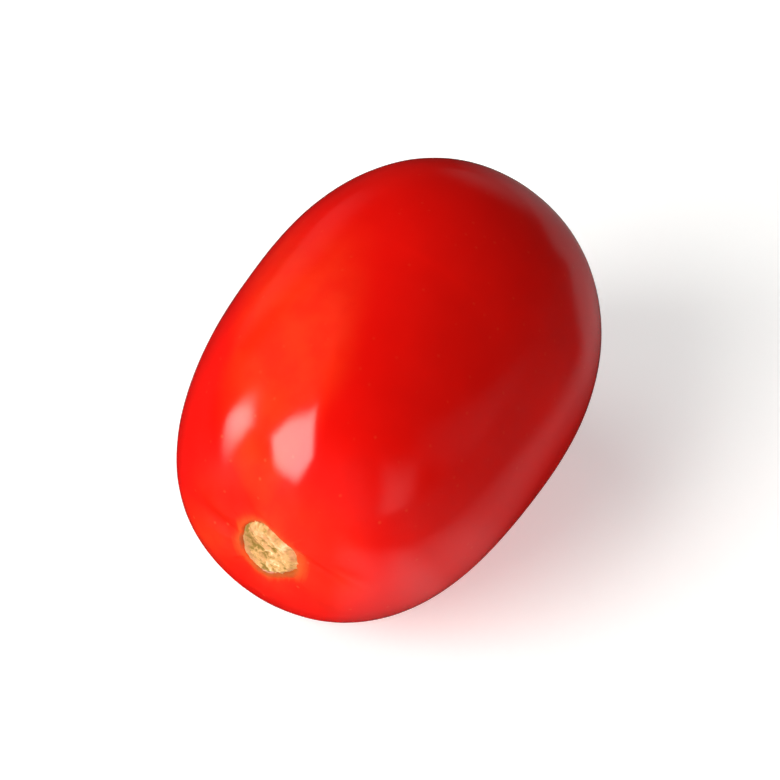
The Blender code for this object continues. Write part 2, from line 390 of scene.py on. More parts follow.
def skin_relief(form, rho, theta, y):
    """The skin's fine relief along its normal: waves, faint ridges and the swelling round the scar."""
    place = Vector((rho * math.cos(theta), y, rho * math.sin(theta)))
    half = 0.5 * form.fruit_length
    wave = 0.5 + 0.5 * noise.noise(place / WAVE_SIZE)
    ridge = round_noise(theta, RIDGE_FREQUENCY, 3.0 * y / half)
    height = -form.wave_height * wave + RIDGE_SHARE * form.wave_height * (ridge - RIDGE_SINK)
    if y < 0.0:
        share = rho / form.scar_radius
        height *= smooth_step(share, *RELIEF_RUN)
        height -= PIT_DEPTH * (1.0 - smooth_step(share, *PIT_EDGE))
        height += LIP_HEIGHT * bell(share - LIP_RADIUS, LIP_WIDTH)
        height += shoulder_relief(place.x, place.z)
        pucker = round_noise(theta, 9.0, 0.4 * share) + 0.6 * round_noise(theta, 17.0, 5.0 + 0.5 * share)
        height += PUCKER_HEIGHT * pucker * window(share, PUCKER_RUN)
    else:
        share = rho / BLOSSOM_SCAR_RADIUS
        height *= smooth_step(share, *BLOSSOM_RELIEF_RUN)
        height -= BLOSSOM_PIT_DEPTH * (1.0 - smooth_step(share, *BLOSSOM_PIT_EDGE))
    return height


def cork_edge(theta, share):
    """The factor that makes the cork's edge ragged, with spikes that only its rim has."""
    ragged = 1.0
    for size, frequency, seed in CORK_WAVES:
        ragged += size * round_noise(theta, frequency, seed)
    size, frequency, seed = CORK_SPIKES
    spike = max(0.0, round_noise(theta, frequency, seed) - CORK_SPIKE_FLOOR)
    return ragged + size * spike * smooth_step(share, *CORK_SLOPE)


def grain_place(x, z):
    """A place in the plane of the stem end, measured along the cork's grain and across it."""
    along = x * math.cos(GRAIN_ANGLE) + z * math.sin(GRAIN_ANGLE)
    across = z * math.cos(GRAIN_ANGLE) - x * math.sin(GRAIN_ANGLE)
    return along, across


def cork_relief(form, share, flat):
    """The cork's height over the basin, and its tone from 0 in the hollows to 1 on the tops."""
    along, across = grain_place(flat.x, flat.z)
    blotch = noise.noise(Vector((along / BLOTCH_SIZE[0], across / BLOTCH_SIZE[1], 4.0)))
    ridge = noise.noise(Vector((along / RIDGE_SIZE[0], across / RIDGE_SIZE[1], 9.0)))
    ridge = 1.0 - 2.5 * abs(ridge)
    crumb = noise.noise(Vector((flat.x / CRUMB_SIZE, flat.z / CRUMB_SIZE, 2.0)))
    hollow = 0.0
    for x, z, length, width, depth in CORK_HOLLOWS:
        hollow_along, hollow_across = grain_place(x, z)
        away = math.hypot((along - hollow_along) / length, (across - hollow_across) / width)
        hollow += depth * bell(away, 1.0)
    # painted shade: the low side is also darker, as the hollows are
    hollow += LOW_SHADED_SIDE_SHARE * smooth_step(-flat.x, *LOW_SHADED_SIDE_RUN)
    tone = CORK_TONE
    height = form.scar_height * (1.0 - CORK_DROP * smooth_step(share, *CORK_SLOPE))
    for part, darkening, rise in zip((blotch, ridge, crumb, hollow), CORK_TONES, CORK_RISES):
        tone += darkening * part
        height += rise * part
    return height, min(max(tone, 0.0), 1.0)


def blossom_relief(share, flat):
    """How far the dry scar lies under the nub, and its tone from 0 to 1."""
    crumb = noise.noise(flat / BLOSSOM_CRUMB_SIZE + Vector((3.0, 0.0, 0.0)))
    sunk = BLOSSOM_SINK + BLOSSOM_CRUMB_DEPTH * crumb + BLOSSOM_DROP * smooth_step(share, *BLOSSOM_SLOPE)
    tone = 0.35 + 0.4 * crumb + 0.25 * bell(share, 0.35)
    return sunk, min(max(tone, 0.0), 1.0)


# Mesh building


def turned(outline, meridians):
    """A mesh turned about the fruit's long axis from points (distance from the axis, place on the axis)."""
    mesh = bmesh.new()
    verts = [mesh.verts.new((rho, y, 0.0)) for rho, y in outline]
    edges = [mesh.edges.new(pair) for pair in zip(verts, verts[1:])]
    bmesh.ops.spin(
        mesh,
        geom=verts + edges,
        cent=(0.0, 0.0, 0.0),
        axis=(0.0, 1.0, 0.0),
        angle=2.0 * math.pi,
        steps=meridians,
        use_merge=True,
    )
    bmesh.ops.remove_doubles(mesh, verts=mesh.verts, dist=POINT_MERGE)
    bmesh.ops.recalc_face_normals(mesh, faces=mesh.faces)
    return mesh


def turned_disc(radius, rings, back, meridians):
    """A thin closed disc: its face in even rings out to the radius, then the points of its back."""
    return turned([(radius * ring / rings, 0.0) for ring in range(rings + 1)] + back, meridians)


def lie_down(mesh):
    turn = Matrix.Rotation(LIE_PITCH, 3, "X") @ Matrix.Rotation(LIE_ROLL, 3, "Y")
    bmesh.ops.rotate(mesh, verts=mesh.verts, cent=(0.0, 0.0, 0.0), matrix=turn)


def settle_scar(mesh, seat):
    """Lays a scar down as the fruit lies."""
    lie_down(mesh)
    bmesh.ops.recalc_face_normals(mesh, faces=mesh.faces)
    bmesh.ops.translate(mesh, verts=mesh.verts, vec=seat)


def press_flat(mesh):
    """Cuts and caps the small flat spot that the fruit rests on, and gives its height."""
    ground = min(vert.co.z for vert in mesh.verts) + FLAT_DEPTH
    bmesh.ops.bisect_plane(
        mesh,
        geom=mesh.verts[:] + mesh.edges[:] + mesh.faces[:],
        dist=POINT_MERGE,
        plane_co=(0.0, 0.0, ground),
        plane_no=(0.0, 0.0, 1.0),
        clear_inner=True,
    )
    rim = [edge for edge in mesh.edges if edge.is_boundary]
    bmesh.ops.contextual_create(mesh, geom=rim)
    bmesh.ops.recalc_face_normals(mesh, faces=mesh.faces)
    return ground


def add_piece(context, mesh, name, surface):
    """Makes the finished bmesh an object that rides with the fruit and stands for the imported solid."""
    data = bpy.data.meshes.new(name)
    mesh.to_mesh(data)
    mesh.free()
    data.materials.append(surface)
    data.shade_smooth()
    piece = bpy.data.objects.new(name, data)
    context.scene.collection.objects.link(piece)
    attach(piece, "root")
    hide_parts("tomato")
    return piece


# Shader nodes


def add_node(tree, kind, inputs=None, **settings):
    """Adds a node with its settings, and sets or links its inputs by name or number."""
    made = tree.nodes.new(kind)
    for name, value in settings.items():
        setattr(made, name, value)
    for key, value in (inputs or {}).items():
        if isinstance(value, bpy.types.NodeSocket):
            tree.links.new(value, made.inputs[key])
        else:
            made.inputs[key].default_value = value
    return made


def mix_colour(tree, share, first, second):
    inputs = {0: share, 6: first, 7: second}
    return add_node(tree, "ShaderNodeMix", inputs, data_type="RGBA", clamp_factor=True).outputs[2]


def maths(tree, operation, first, second=0.0, third=0.0):
    return add_node(tree, "ShaderNodeMath", {0: first, 1: second, 2: third}, operation=operation).outputs[0]


def vector_maths(tree, operation, first, second=None):
    """What one vector or two give: a number for the operations that measure, or else a vector."""
    inputs = {0: first} if second is None else {0: first, 1: second}
    made = add_node(tree, "ShaderNodeVectorMath", inputs, operation=operation)
    return made.outputs["Value" if operation in ("DISTANCE", "DOT_PRODUCT", "LENGTH") else "Vector"]


def ramp(tree, value, low, high, out_low=0.0, out_high=1.0):
    """Maps value from low..high to out_low..out_high, with soft ends."""
    inputs = {"Value": value, "From Min": low, "From Max": high, "To Min": out_low, "To Max": out_high}
    return add_node(tree, "ShaderNodeMapRange", inputs, interpolation_type="SMOOTHSTEP").outputs[0]


def noise_texture(tree, vector, scale, detail):
    inputs = {"Vector": vector, "Scale": scale, "Detail": detail}
    return add_node(tree, "ShaderNodeTexNoise", inputs).outputs["Fac"]


def attribute(tree, name):
    return add_node(tree, "ShaderNodeAttribute", attribute_name=name).outputs["Fac"]


def link_bump(tree, shader, height, strength, distance):
    bump = add_node(tree, "ShaderNodeBump", {"Height": height, "Strength": strength, "Distance": distance})
    tree.links.new(bump.outputs[0], shader.inputs["Normal"])


def solid(colour):
    return (*colour, 1.0)


def socket_name(key):
    return key.replace("_", " ").title()


def new_mask_group(name, **defaults):
    """An empty node group that makes a mask from a vector and some numbers: the group and its two ends."""
    group = bpy.data.node_groups.new(name, "ShaderNodeTree")
    group.interface.new_socket("Vector", in_out="INPUT", socket_type="NodeSocketVector")
    for key, default in defaults.items():
        socket = group.interface.new_socket(socket_name(key), in_out="INPUT", socket_type="NodeSocketFloat")
        socket.default_value = default
    group.interface.new_socket("Mask", in_out="OUTPUT", socket_type="NodeSocketFloat")
    given = group.nodes.new("NodeGroupInput").outputs
    return group, given, group.nodes.new("NodeGroupOutput").inputs["Mask"]


def soft_mask(group, value, softness):
    """Spreads noise to a mask, with soft edges round its middle value."""
    return ramp(group, value, maths(group, "SUBTRACT", 0.5, softness), maths(group, "ADD", 0.5, softness))


def mottle_group():
    """Soft cloudy patches of a given size."""
    group, given, result = new_mask_group("Mottle", patch_size=0.01, softness=0.2)
    scale = maths(group, "DIVIDE", 1.0, given["Patch Size"])
    clouds = noise_texture(group, given["Vector"], scale, 3.0)
    group.links.new(soft_mask(group, clouds, given["Softness"]), result)
    return group


def flecks_group():
    """Small round flecks, spread unevenly."""
    group, given, result = new_mask_group("Flecks", spacing=0.002, fleck_share=0.15, filled_share=0.5)
    scale = maths(group, "DIVIDE", 1.0, given["Spacing"])
    cells = add_node(group, "ShaderNodeTexVoronoi", {"Vector": given["Vector"], "Scale": scale}).outputs
    near = ramp(group, cells["Distance"], 0.0, given["Fleck Share"], 1.0, 0.0)
    draw = add_node(group, "ShaderNodeSeparateColor", {"Color": cells["Color"]}).outputs["Red"]
    filled = maths(group, "LESS_THAN", draw, given["Filled Share"])
    group.links.new(maths(group, "MULTIPLY", near, filled), result)
    return group


def streaks_group():
    """Streaks that run from pole to pole of the long axis, and outwards like spokes at the poles."""
    group, given, result = new_mask_group("Streaks", fineness=8.0, softness=0.2)
    across = vector_maths(group, "MULTIPLY", given["Vector"], (1.0, 0.0, 1.0))
    spoke = vector_maths(group, "NORMALIZE", across)
    inputs = {0: spoke, "Scale": given["Fineness"]}
    spread = add_node(group, "ShaderNodeVectorMath", inputs, operation="SCALE").outputs[0]
    drift = vector_maths(group, "MULTIPLY", given["Vector"], (60.0, 60.0, 60.0))
    lines = noise_texture(group, vector_maths(group, "ADD", spread, drift), 1.0, 3.0)
    group.links.new(soft_mask(group, lines, given["Softness"]), result)
    return group


def mask(tree, name, vector, **values):
    """The mask that a shared group gives. The group is made the first time it is asked for."""
    makers = {"Mottle": mottle_group, "Flecks": flecks_group, "Streaks": streaks_group}
    made = tree.nodes.new("ShaderNodeGroup")
    made.node_tree = bpy.data.node_groups.get(name) or makers[name]()
    tree.links.new(vector, made.inputs["Vector"])
    for key, value in values.items():
        made.inputs[socket_name(key)].default_value = value
    return made.outputs["Mask"]


# Materials


def new_material(name, colour):
    """A material with this colour in solid view, its tree, its shader and the object's coordinates."""
    made = bpy.data.materials.new(name)
    made.use_nodes = True
    made.diffuse_color = solid(colour)
    tree = made.node_tree
    return made, tree, tree.nodes["Principled BSDF"], add_node(tree, "ShaderNodeTexCoord").outputs["Object"]


def lit_flank_mask(tree, place):
    """Painted light: the lit flank, painted orange as a soft stripe along the fruit, on one side of its top.
    """
    parts = add_node(tree, "ShaderNodeSeparateXYZ", {0: place}).outputs
    drift = maths(tree, "MULTIPLY_ADD", parts["Y"], LIT_FLANK_DRIFT, -LIT_FLANK_DRIFT * LIT_FLANK_STRAIGHT_AT)
    across = maths(tree, "ADD", parts["X"], maths(tree, "MAXIMUM", drift, 0.0))
    upward = maths(tree, "SUBTRACT", parts["Z"], LIT_FLANK_AXIS_HEIGHT)
    outward = add_node(tree, "ShaderNodeCombineXYZ", {"X": across, "Z": upward}).outputs[0]
    outward = vector_maths(tree, "NORMALIZE", outward)
    stripe = ramp(tree, vector_maths(tree, "DOT_PRODUCT", outward, LIT_FLANK_WAY), *LIT_FLANK_EDGE)
    return maths(tree, "MULTIPLY", stripe, ramp(tree, parts["Y"], *LIT_FLANK_END, 1.0, 0.0))


def skin_material(look):
    """Glossy waxy skin: deep red, orange round the stem scar, with fine flecks, painted light and painted
    shade.
    """
    made, tree, shader, place = new_material("tomato_skin", look.ripe_red)
    from_scar = attribute(tree, "scar_share")
    fold = attribute(tree, "fold_depth")
    upward = add_node(tree, "ShaderNodeSeparateXYZ", {0: place}).outputs["Z"]
    clouds = mask(tree, "Mottle", place, patch_size=0.022, softness=0.20)
    blotches = mask(tree, "Mottle", place, patch_size=0.006, softness=0.22)
    streaks = mask(tree, "Streaks", place, fineness=7.0, softness=0.25)
    spokes = mask(tree, "Streaks", place, fineness=22.0, softness=0.12)

    colour = mix_colour(tree, clouds, solid(look.deep_red), solid(look.ripe_red))
    uneven = ramp(tree, blotches, 0.0, 1.0, 0.55, 1.0)
    # painted light: the lit flank is painted orange
    lit_flank = maths(tree, "MULTIPLY", lit_flank_mask(tree, place), uneven)
    from_spot = vector_maths(tree, "DISTANCE", place, ORANGE_SPOT)
    spot = ramp(tree, from_spot, *ORANGE_SPOT_EDGE, 0.95, 0.0)
    # partly the real orange round the stem end, partly painted light: the stem end faces the light
    shoulder = maths(tree, "MAXIMUM", ramp(tree, from_scar, *SHOULDER_RUN, 0.85, 0.0), spot)
    shoulder = maths(tree, "MULTIPLY", shoulder, uneven)
    # painted shade: less orange low down, where the underside lies in shade
    shoulder = maths(tree, "MULTIPLY", shoulder, ramp(tree, upward, *SHOULDER_LOW_SHADE_RISE, 0.25, 1.0))
    colour = mix_colour(tree, maths(tree, "MAXIMUM", lit_flank, shoulder), colour, solid(look.lit_and_stem_orange))
    colour = mix_colour(tree, maths(tree, "MULTIPLY", streaks, 0.15), colour, solid(look.deep_red))
    # painted shade: darker in the folds
    fold_shade = maths(tree, "MULTIPLY", fold, ramp(tree, from_scar, *FOLD_SHADE_RUN, 0.90, 0.0))
    colour = mix_colour(tree, fold_shade, colour, solid([0.85 * share for share in look.deep_red]))

    edge = ramp(tree, spokes, 0.0, 1.0, 0.98, 1.08)
    halo = ramp(tree, maths(tree, "SUBTRACT", from_scar, edge), *HALO_RUN, 0.36, 0.0)
    # painted shade: the halo fades towards the top, where the dip by the scar lies in shade
    halo = maths(tree, "MULTIPLY", halo, ramp(tree, upward, *HALO_TOP_SHADE_RISE, 1.0, 0.50))
    colour = mix_colour(tree, halo, colour, solid(look.halo_orange))
    patchy = ramp(tree, blotches, 0.2, 0.8)
    rim = maths(tree, "MULTIPLY", ramp(tree, from_scar, *RIM_RUN, 0.8, 0.0), patchy)
    colour = mix_colour(tree, rim, colour, solid(look.rim_brown))
    flecks = mask(tree, "Flecks", place, spacing=0.0017, fleck_share=0.20, filled_share=0.40)
    flecks = maths(tree, "MULTIPLY", flecks, ramp(tree, from_scar, *FLECK_RUN, 0.22, 0.05))
    colour = mix_colour(tree, flecks, colour, solid(look.fleck_gold))
    tree.links.new(colour, shader.inputs["Base Color"])

    rough = maths(tree, "MULTIPLY_ADD", blotches, 0.04, look.skin_roughness)
    tree.links.new(rough, shader.inputs["Roughness"])
    grain = noise_texture(tree, place, SKIN_GRAIN, 2.0)
    swell = noise_texture(tree, place, SKIN_SWELL, 2.0)
    relief = maths(tree, "ADD", maths(tree, "MULTIPLY", grain, 0.12), swell)
    link_bump(tree, shader, relief, 0.10, 0.0003)
    shader.inputs["IOR"].default_value = look.skin_ior
    shader.inputs["Subsurface Weight"].default_value = 0.12
    shader.inputs["Subsurface Radius"].default_value = FLESH_RADII
    shader.inputs["Subsurface Scale"].default_value = FLESH_DEPTH
    return made


def cork_material(look, name, pale, middle, dark):
    """Dry cork: pale tops, tan slopes and dark cracks, with pinkish patches and dark specks."""
    made, tree, shader, place = new_material(name, middle)
    patches = mask(tree, "Mottle", place, patch_size=0.0016, softness=0.12)
    crumbs = mask(tree, "Mottle", place, patch_size=0.0005, softness=0.25)
    specks = mask(tree, "Flecks", place, spacing=0.0007, fleck_share=0.28, filled_share=0.25)

    crumbs = maths(tree, "MULTIPLY", maths(tree, "SUBTRACT", crumbs, 0.5), 0.30)
    tone = maths(tree, "ADD", attribute(tree, "cork_height"), crumbs)
    colour = mix_colour(tree, ramp(tree, tone, 0.00, 0.50), solid(dark), solid(middle))
    colour = mix_colour(tree, ramp(tree, tone, 0.45, 0.95), colour, solid(pale))
    colour = mix_colour(tree, maths(tree, "MULTIPLY", patches, 0.5), colour, solid(look.cork_pink))
    colour = mix_colour(tree, maths(tree, "MULTIPLY", specks, 0.5), colour, solid(dark))
    tree.links.new(colour, shader.inputs["Base Color"])
    tree.links.new(ramp(tree, tone, 0.0, 1.0, 0.95, 0.70), shader.inputs["Roughness"])
    link_bump(tree, shader, noise_texture(tree, place, CORK_GRAIN, 3.0), 0.6, 0.00008)
    shader.inputs["Specular IOR Level"].default_value = 0.25
    return made


def facing(tree, place, degrees):
    """The cosine of the angle on the floor between a place and a direction, both from the middle."""
    way = (math.cos(math.radians(degrees)), math.sin(math.radians(degrees)), 0.0)
    return vector_maths(tree, "DOT_PRODUCT", vector_maths(tree, "NORMALIZE", place), way)


def add_lobes(tree, value, place, lobes):
    """Adds to a value what the lobes give in their directions on the floor."""
    for degrees, start, end, outside, inside in lobes:
        lobe = ramp(tree, facing(tree, place, degrees), start, end, outside, inside)
        value = maths(tree, "ADD", value, lobe)
    return value


def floor_glow(tree, place):
    """How bright the floor is where the fruit mirrors it: a soft ring, brightest on one side."""
    away = vector_maths(tree, "LENGTH", vector_maths(tree, "MULTIPLY", place, GLOW_SCALE))
    start = ramp(tree, add_lobes(tree, away, place, GLOW_START_LOBES), *GLOW_START)
    end = ramp(tree, add_lobes(tree, away, place, GLOW_END_LOBES), *GLOW_END, 1.0, 0.0)
    bright = add_lobes(tree, 0.0, place, GLOW_LOBES)
    return maths(tree, "MULTIPLY_ADD", maths(tree, "MULTIPLY", start, end), bright, GLOW_LEAST)


def floor_material(studio):
    """Plain pale paper with a faint unevenness."""
    made, tree, shader, place = new_material("studio_floor", studio.floor_colour)
    clouds = mask(tree, "Mottle", place, patch_size=0.25, softness=0.3)
    shade = [0.97 * share for share in studio.floor_colour]
    colour = mix_colour(tree, clouds, solid(studio.floor_colour), solid(shade))
    path = add_node(tree, "ShaderNodeLightPath").outputs
    colour = mix_colour(tree, path["Is Glossy Ray"], colour, solid((0.0, 0.0, 0.0)))
    tree.links.new(colour, shader.inputs["Base Color"])
    shine = maths(tree, "MULTIPLY", path["Is Glossy Ray"], floor_glow(tree, place))
    shine = maths(tree, "ADD", shine, maths(tree, "MULTIPLY", path["Is Camera Ray"], studio.floor_lift))
    side = facing(tree, place, FLOOR_BOUNCE_WAY)
    bounce = ramp(tree, side, *FLOOR_BOUNCE_EDGE, 0.0, studio.floor_bounce)
    shine = maths(tree, "MULTIPLY_ADD", path["Is Diffuse Ray"], bounce, shine)
    tree.links.new(shine, shader.inputs["Emission Strength"])
    shader.inputs["Emission Color"].default_value = (1.0, 1.0, 1.0, 1.0)
    shader.inputs["Roughness"].default_value = 0.7
    shader.inputs["Specular IOR Level"].default_value = 0.2
    return made


# Studio


def camera_axes(studio):
    """The camera's right, up and backward directions."""
    level = math.cos(studio.elevation)
    across, along = math.sin(studio.azimuth), math.cos(studio.azimuth)
    back = Vector((across * level, -along * level, math.sin(studio.elevation)))
    right = Vector((along, across, 0.0))
    return right, back.cross(right), back


def add_floor(context, studio):
    mesh = bmesh.new()
    bmesh.ops.create_circle(mesh, cap_ends=True, segments=FLOOR_SIDES, radius=FLOOR_RADIUS)
    data = bpy.data.meshes.new("studio_floor")
    mesh.to_mesh(data)
    mesh.free()
    data.materials.append(floor_material(studio))
    floor = bpy.data.objects.new("studio_floor", data)
    context.scene.collection.objects.link(floor)


def add_softbox(context, name, way, up, roll, away, size, brightness, shares, mirrored=True):
    """Growing area lights, one behind the other, that face the fruit's middle and have a soft edge together.

    Their power follows from their radiance and area.
    """
    across = up.cross(way).normalized()
    turn = Matrix((across, way.cross(across), way)).transposed().to_4x4()
    for place, share in enumerate(shares):
        width, height = share * size[0], share * size[1]
        data = bpy.data.lights.new(name, "AREA")
        data.shape = "RECTANGLE"
        data.size, data.size_y = width, height
        data.energy = math.pi * brightness / len(shares) * width * height
        data.color = SOFTBOX_COLOUR
        light = bpy.data.objects.new(name, data)
        shift = Matrix.Translation(CAD_MIDDLE + (away + place * PANEL_STEP) * way)
        light.matrix_world = shift @ turn @ Matrix.Rotation(roll, 4, "Z")
        light.visible_glossy = mirrored
        context.scene.collection.objects.link(light)


def add_room_light(context, studio):
    """Dim light from all round, with a pale wall for the camera."""
    world = bpy.data.worlds.new("studio_room")
    world.use_nodes = True
    tree = world.node_tree
    background = tree.nodes["Background"]
    background.inputs["Color"].default_value = (1.0, 1.0, 1.0, 1.0)
    path = add_node(tree, "ShaderNodeLightPath").outputs
    seen = maths(tree, "MULTIPLY", path["Is Camera Ray"], WALL_BRIGHTNESS - studio.sky_brightness)
    way = add_node(tree, "ShaderNodeTexCoord").outputs["Generated"]
    mirrored = studio.sky_gloss - studio.sky_brightness
    for bright_way, brightness in SKY_LOBES:
        lined_up = vector_maths(tree, "DOT_PRODUCT", way, bright_way)
        mirrored = maths(tree, "ADD", mirrored, ramp(tree, lined_up, *SKY_EDGE, 0.0, brightness))
    mirrored = maths(tree, "MULTIPLY", path["Is Glossy Ray"], mirrored)
    strength = maths(tree, "ADD", maths(tree, "ADD", seen, mirrored), studio.sky_brightness)
    tree.links.new(strength, background.inputs["Strength"])
    context.scene.world = world


def add_camera(context, studio):
    right, up, back = camera_axes(studio)
    data = bpy.data.cameras.new("studio_camera")
    data.sensor_width = SENSOR_WIDTH
    data.lens = data.sensor_width * studio.distance / studio.view_width
    data.dof.use_dof = False
    camera = bpy.data.objects.new("studio_camera", data)
    aim = CAD_MIDDLE + AIM_SHIFT[0] * right + AIM_SHIFT[1] * up
    camera.location = aim + studio.distance * back
    camera.rotation_euler = back.to_track_quat("Z", "Y").to_euler()
    context.scene.collection.objects.link(camera)
    context.scene.camera = camera


# Sizes and colours that a user would change


class TomatoForm(bpy.types.PropertyGroup):
    """Sizes of the fruit."""

    fruit_length: FloatProperty(
        name="Length", description="Pole to pole before shaping", default=0.067, min=0.02, unit="LENGTH"
    )
    fruit_width: FloatProperty(
        name="Width", description="Mean width across the middle", default=0.048, min=0.02, unit="LENGTH"
    )
    basin_depth: FloatProperty(
        name="Basin Depth", description="Hollow at the stem end", default=0.0012, min=0.0, unit="LENGTH"
    )
    fold_scale: FloatProperty(
        name="Fold Scale", description="Share of the folds' stated depths", default=1.0, min=0.0, max=2.0
    )
    scar_radius: FloatProperty(
        name="Scar Radius", description="Mean radius of the cork", default=0.0042, min=0.001, unit="LENGTH"
    )
    scar_height: FloatProperty(
        name="Scar Height", description="How far the cork stands up", default=0.0004, min=0.0, unit="LENGTH"
    )
    nub_height: FloatProperty(
        name="Nub Height", description="Nub at the blossom end", default=0.0005, min=0.0, unit="LENGTH"
    )
    wave_height: FloatProperty(
        name="Wave Height", description="Slow waves in the skin", default=0.00014, min=0.0, unit="LENGTH"
    )
    seat: FloatVectorProperty(
        name="Seat", description="Shift that sets the lying fruit on the floor", subtype="TRANSLATION"
    )


class TomatoLook(bpy.types.PropertyGroup):
    """Colours and gloss of the fruit."""

    ripe_red: FloatVectorProperty(
        name="Ripe Red", description="Brighter skin", subtype="COLOR", default=(0.84, 0.0048, 0.0018)
    )
    deep_red: FloatVectorProperty(
        name="Deep Red", description="Deeper skin", subtype="COLOR", default=(0.74, 0.0030, 0.0010)
    )
    # painted light: the orange of the lit flank, also the partly real orange round the stem end
    lit_and_stem_orange: FloatVectorProperty(
        name="Flank Orange", description="Flank and stem end", subtype="COLOR", default=(0.90, 0.034, 0.0048)
    )
    halo_orange: FloatVectorProperty(
        name="Halo Orange", description="Skin beside the scar", subtype="COLOR", default=(0.92, 0.20, 0.03)
    )
    rim_brown: FloatVectorProperty(
        name="Rim Brown", description="Skin at the scar's rim", subtype="COLOR", default=(0.30, 0.085, 0.015)
    )
    fleck_gold: FloatVectorProperty(
        name="Fleck Gold", description="Flecks in the skin", subtype="COLOR", default=(0.95, 0.30, 0.12)
    )
    cork_cream: FloatVectorProperty(
        name="Cork Cream", description="Tops of the cork", subtype="COLOR", default=(0.92, 0.68, 0.38)
    )
    cork_tan: FloatVectorProperty(
        name="Cork Tan", description="Slopes of the cork", subtype="COLOR", default=(0.66, 0.36, 0.13)
    )
    cork_pink: FloatVectorProperty(
        name="Cork Pink", description="Fresher patches", subtype="COLOR", default=(0.82, 0.36, 0.18)
    )
    hollow_olive: FloatVectorProperty(
        name="Hollow Olive", description="Hollows in the cork", subtype="COLOR", default=(0.26, 0.16, 0.03)
    )
    dry_brown: FloatVectorProperty(
        name="Dry Brown", description="The blossom scar", subtype="COLOR", default=(0.20, 0.09, 0.03)
    )
    dry_dark: FloatVectorProperty(
        name="Dry Dark", description="Its dark spots", subtype="COLOR", default=(0.05, 0.025, 0.01)
    )
    skin_roughness: FloatProperty(
        name="Skin Roughness",
        description="Roughness of the skin",
        default=0.15,
        min=0.0,
        max=1.0,
        subtype="FACTOR",
    )
    skin_ior: FloatProperty(
        name="Skin IOR", description="Index of refraction of the skin", default=1.50, min=1.0, max=2.0
    )


class TomatoStudio(bpy.types.PropertyGroup):
    """Camera, lights and floor."""

    azimuth: FloatProperty(
        name="Azimuth", description="Camera's way round", default=math.radians(27.8), subtype="ANGLE"
    )
    elevation: FloatProperty(
        name="Elevation", description="Camera's rise", default=math.radians(42.8), subtype="ANGLE"
    )
    distance: FloatProperty(
        name="Distance", description="Camera to the aim", default=0.384, min=0.1, unit="LENGTH"
    )
    view_width: FloatProperty(
        name="View Width", description="Width seen at the fruit", default=0.1025, min=0.05, unit="LENGTH"
    )
    key_brightness: FloatProperty(
        name="Key Brightness", description="Radiance of the main softbox", default=7.6, min=0.0
    )
    fill_brightness: FloatProperty(
        name="Fill Brightness", description="Radiance of the right panel", default=0.62, min=0.0
    )
    dim_brightness: FloatProperty(
        name="Dim Brightness", description="Radiance of the dim right panel", default=0.12, min=0.0
    )
    bounce_brightness: FloatProperty(
        name="Bounce Brightness", description="Radiance of the card in front", default=1.0, min=0.0
    )
    overhead_brightness: FloatProperty(
        name="Overhead Brightness", description="Radiance of the panel above", default=1.7, min=0.0
    )
    sky_brightness: FloatProperty(
        name="Room Brightness", description="Light from the room all round", default=0.11, min=0.0
    )
    sky_gloss: FloatProperty(
        name="Room Gloss", description="The room's brightness in the gloss", default=0.015, min=0.0
    )
    floor_lift: FloatProperty(
        name="Floor Lift", description="Extra brightness in view", default=0.42, min=0.0
    )
    floor_bounce: FloatProperty(
        name="Floor Bounce", description="Extra light that it throws up", default=0.36, min=0.0
    )
    floor_colour: FloatVectorProperty(
        name="Floor Colour", description="Pale floor", subtype="COLOR", default=(0.90, 0.90, 0.90)
    )


# Operators


class TOMATO_OT_make_skin(bpy.types.Operator):
    """Build the skin: the whole body of the fruit, lying on its flat spot"""

    bl_idname = "tomato.make_skin"
    bl_label = "Make Skin"
    bl_options = {"REGISTER", "UNDO"}

    def execute(self, context):
        form = context.scene.tomato_form
        mesh = turned(ring_outline(form), SKIN_MERIDIANS)
        scar_share = mesh.verts.layers.float.new("scar_share")
        fold_layer = mesh.verts.layers.float.new("fold_depth")
        relief = []
        for vert in mesh.verts:
            rho, theta, y = round_place(vert.co)
            distance = math.hypot(rho, y + 0.5 * form.fruit_length)
            vert[scar_share] = distance / form.scar_radius
            vert[fold_layer] = fold_depth(theta, rho, distance) / FOLD_SHADE_DEPTH if y < 0.0 else 0.0
            relief.append(skin_relief(form, rho, theta, y))
            vert.co = grown(form, rho, theta, y)
        mesh.normal_update()
        for vert, height in zip(mesh.verts, relief):
            vert.co += height * vert.normal
        lie_down(mesh)
        ground = press_flat(mesh)
        xs = [vert.co.x for vert in mesh.verts]
        ys = [vert.co.y for vert in mesh.verts]
        aside = CAD_MIDDLE.x - (min(xs) + max(xs)) / 2.0
        along = CAD_MIDDLE.y - (min(ys) + max(ys)) / 2.0
        form.seat = (aside, along, CAD_LOW.z - ground)
        bmesh.ops.translate(mesh, verts=mesh.verts, vec=form.seat)
        add_piece(context, mesh, "tomato_skin", skin_material(context.scene.tomato_look))
        return {"FINISHED"}


